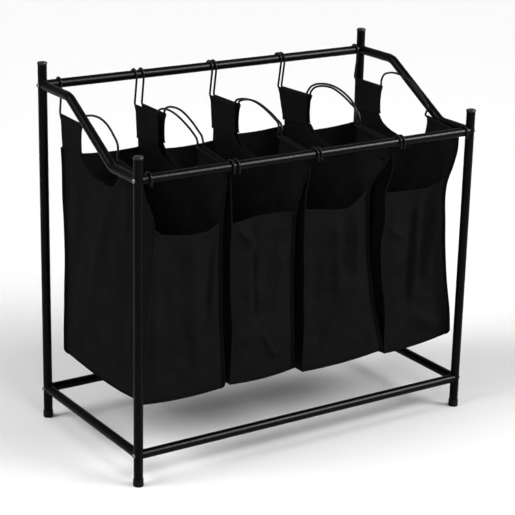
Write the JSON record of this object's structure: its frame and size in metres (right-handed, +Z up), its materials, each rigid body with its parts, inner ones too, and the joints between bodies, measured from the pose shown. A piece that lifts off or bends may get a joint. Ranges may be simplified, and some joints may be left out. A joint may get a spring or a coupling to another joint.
{
  "type": "laundry sorter",
  "caption": "Bolted steel tube frame from which cloth laundry bags hang side by side, each on two bent wire handles that hook over the long top rails.",
  "frame": {"origin": "on the floor under the middle of the frame", "axes": "+X along the long rails to the viewer's right, +Y from the front to the back, +Z up"},
  "size_m": [0.8258, 0.4238, 0.778],
  "materials": {
    "frame_paint": "black powder coat with a fine even grain and a satin gloss",
    "wire_paint": "black coated steel wire, satin",
    "cap_plastic": "moulded black plastic, fine matt grain",
    "bolt_black": "black plated button head bolt, slightly glossy",
    "plug_nylon": "black nylon plug with a metal thread, hidden in the rail",
    "bag_cloth": "black plain-weave polyester with a faint sheen, creased, seams bound with tape"
  },
  "bodies": {
    "frame": {"post_front_left": "frame_paint", "top_cap_front_left": "cap_plastic", "foot_cap_front_left": "cap_plastic", "post_front_right": "frame_paint", "top_cap_front_right": "cap_plastic", "foot_cap_front_right": "cap_plastic", "post_back_left": "frame_paint", "top_cap_back_left": "cap_plastic", "foot_cap_back_left": "cap_plastic", "post_back_right": "frame_paint", "top_cap_back_right": "cap_plastic", "foot_cap_back_right": "cap_plastic", "top_rail_front": "frame_paint", "top_rail_back": "frame_paint", "bottom_rail_front": "frame_paint", "bottom_rail_back": "frame_paint", "bottom_side_rail_left": "frame_paint", "bottom_side_rail_right": "frame_paint", "sloping_side_rail_left": "frame_paint", "sloping_side_rail_right": "frame_paint", "bolt_top_front_left": "bolt_black", "threaded_plug_top_front_left": "plug_nylon", "bolt_bottom_front_left": "bolt_black", "threaded_plug_bottom_front_left": "plug_nylon", "bolt_top_front_right": "bolt_black", "threaded_plug_top_front_right": "plug_nylon", "bolt_bottom_front_right": "bolt_black", "threaded_plug_bottom_front_right": "plug_nylon", "bolt_top_back_left": "bolt_black", "threaded_plug_top_back_left": "plug_nylon", "bolt_bottom_back_left": "bolt_black", "threaded_plug_bottom_back_left": "plug_nylon", "bolt_top_back_right": "bolt_black", "threaded_plug_top_back_right": "plug_nylon", "bolt_bottom_back_right": "bolt_black", "threaded_plug_bottom_back_right": "plug_nylon"},
    "bag_1": {"bag_1": "bag_cloth"},
    "bag_1_wire_left": {"bag_1_handle_left": "wire_paint"},
    "bag_1_wire_right": {"bag_1_handle_right": "wire_paint"},
    "bag_2": {"bag_2": "bag_cloth"},
    "bag_2_wire_left": {"bag_2_handle_left": "wire_paint"},
    "bag_2_wire_right": {"bag_2_handle_right": "wire_paint"},
    "bag_3": {"bag_3": "bag_cloth"},
    "bag_3_wire_left": {"bag_3_handle_left": "wire_paint"},
    "bag_3_wire_right": {"bag_3_handle_right": "wire_paint"},
    "bag_4": {"bag_4": "bag_cloth"},
    "bag_4_wire_left": {"bag_4_handle_left": "wire_paint"},
    "bag_4_wire_right": {"bag_4_handle_right": "wire_paint"}
  },
  "joints": [
    {"name": "bag_1_lift", "type": "slide", "parent": "frame", "child": "bag_1", "axis": [0, 0, 1], "range_m": [0, 0.6]},
    {"name": "bag_1_close", "type": "slide", "parent": "bag_1", "child": "bag_1_wire_left", "axis": [1, 0, 0], "range_m": [0, 0.05]},
    {"name": "bag_1_close_right", "type": "slide", "parent": "bag_1", "child": "bag_1_wire_right", "axis": [1, 0, 0], "range_m": [-0.05, 0]},
    {"name": "bag_2_lift", "type": "slide", "parent": "frame", "child": "bag_2", "axis": [0, 0, 1], "range_m": [0, 0.6]},
    {"name": "bag_2_close", "type": "slide", "parent": "bag_2", "child": "bag_2_wire_left", "axis": [1, 0, 0], "range_m": [0, 0.05]},
    {"name": "bag_2_close_right", "type": "slide", "parent": "bag_2", "child": "bag_2_wire_right", "axis": [1, 0, 0], "range_m": [-0.05, 0]},
    {"name": "bag_3_lift", "type": "slide", "parent": "frame", "child": "bag_3", "axis": [0, 0, 1], "range_m": [0, 0.6]},
    {"name": "bag_3_close", "type": "slide", "parent": "bag_3", "child": "bag_3_wire_left", "axis": [1, 0, 0], "range_m": [0, 0.05]},
    {"name": "bag_3_close_right", "type": "slide", "parent": "bag_3", "child": "bag_3_wire_right", "axis": [1, 0, 0], "range_m": [-0.05, 0]},
    {"name": "bag_4_lift", "type": "slide", "parent": "frame", "child": "bag_4", "axis": [0, 0, 1], "range_m": [0, 0.6]},
    {"name": "bag_4_close", "type": "slide", "parent": "bag_4", "child": "bag_4_wire_left", "axis": [1, 0, 0], "range_m": [0, 0.05]},
    {"name": "bag_4_close_right", "type": "slide", "parent": "bag_4", "child": "bag_4_wire_right", "axis": [1, 0, 0], "range_m": [-0.05, 0]}
  ],
  "couplings": [
    {"joint": "bag_1_close_right", "follows": "bag_1_close", "ratio": -1},
    {"joint": "bag_2_close_right", "follows": "bag_2_close", "ratio": -1},
    {"joint": "bag_3_close_right", "follows": "bag_3_close", "ratio": -1},
    {"joint": "bag_4_close_right", "follows": "bag_4_close", "ratio": -1}
  ]
}
